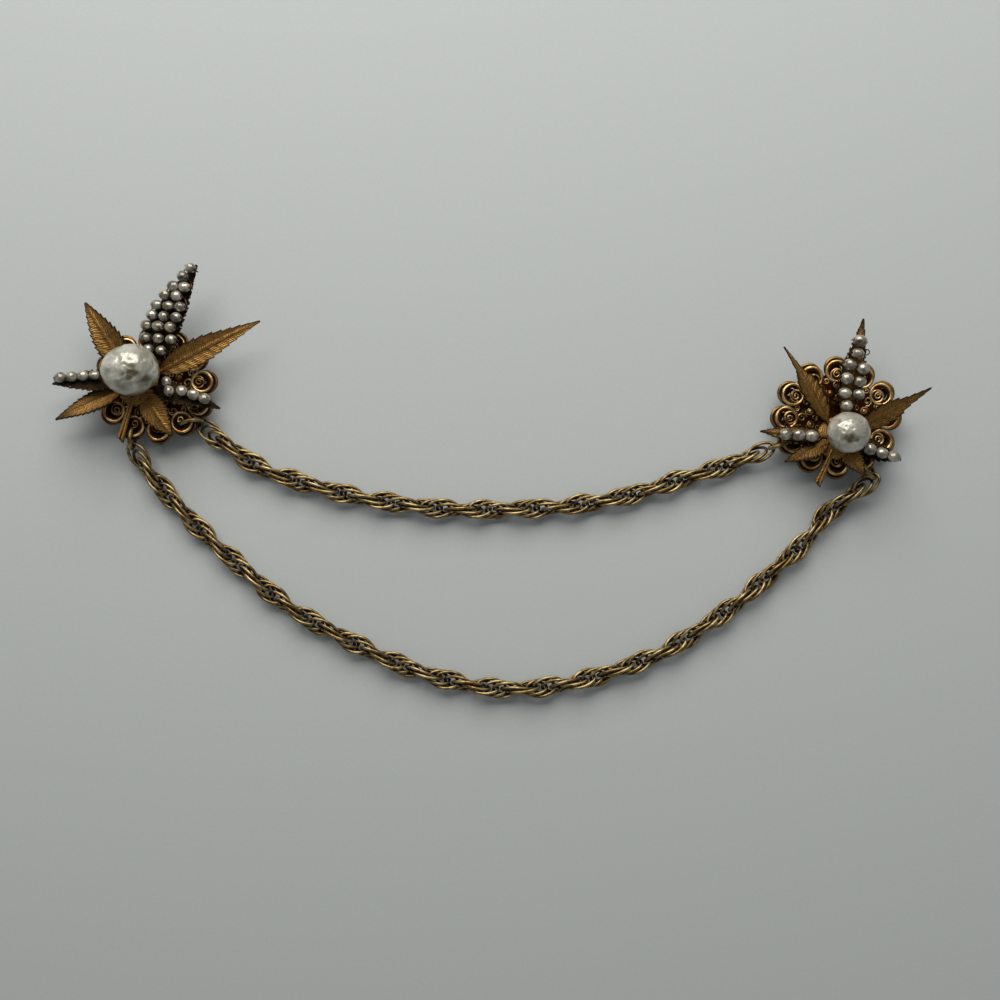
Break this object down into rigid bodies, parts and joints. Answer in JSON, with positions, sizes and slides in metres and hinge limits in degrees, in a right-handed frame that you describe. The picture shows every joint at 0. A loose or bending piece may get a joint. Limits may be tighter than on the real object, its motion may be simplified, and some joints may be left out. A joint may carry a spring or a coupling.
{
  "type": "chain brooch",
  "caption": "Pair of pearl and leaf brooches on pierced scroll rosettes, joined by two rope chains of different length.",
  "frame": {"origin": "middle of the outline's box, on the surface that the brooch lies on", "axes": "+X runs from the left brooch to the right one, +Y up the page in the picture's view, +Z off the surface"},
  "size_m": [0.1709, 0.0855, 0.0169],
  "materials": {
    "antique_gold": "antique gold plate, bright on the wire tops and dark in the recesses",
    "leaf_gold": "matte antique gold with stamped veins and a fine grain",
    "chain_gold": "worn gold plate, polished on the outside of the links",
    "center_pearl": "wrinkled pearl lustre",
    "seed_pearl": "silvery pearl lustre",
    "dark_wire": "oxidised fine wire",
    "pin_metal": "satin"
  },
  "bodies": {
    "root": {"left_back_filigree": "antique_gold", "left_front_filigree": "antique_gold", "left_leaf_spray": "leaf_gold", "left_seed_pearls": "seed_pearl", "left_binding_wires": "dark_wire", "left_center_pearl": "center_pearl", "left_pearl_post": "antique_gold", "left_pin": "pin_metal", "left_upper_ring": "chain_gold", "left_lower_ring": "chain_gold", "right_back_filigree": "antique_gold", "right_front_filigree": "antique_gold", "right_leaf_spray": "leaf_gold", "right_seed_pearls": "seed_pearl", "right_binding_wires": "dark_wire", "right_center_pearl": "center_pearl", "right_pearl_post": "antique_gold", "right_pin": "pin_metal", "right_upper_ring": "chain_gold", "right_lower_ring": "chain_gold", "upper_chain": "chain_gold", "lower_chain": "chain_gold"}
  },
  "joints": []
}
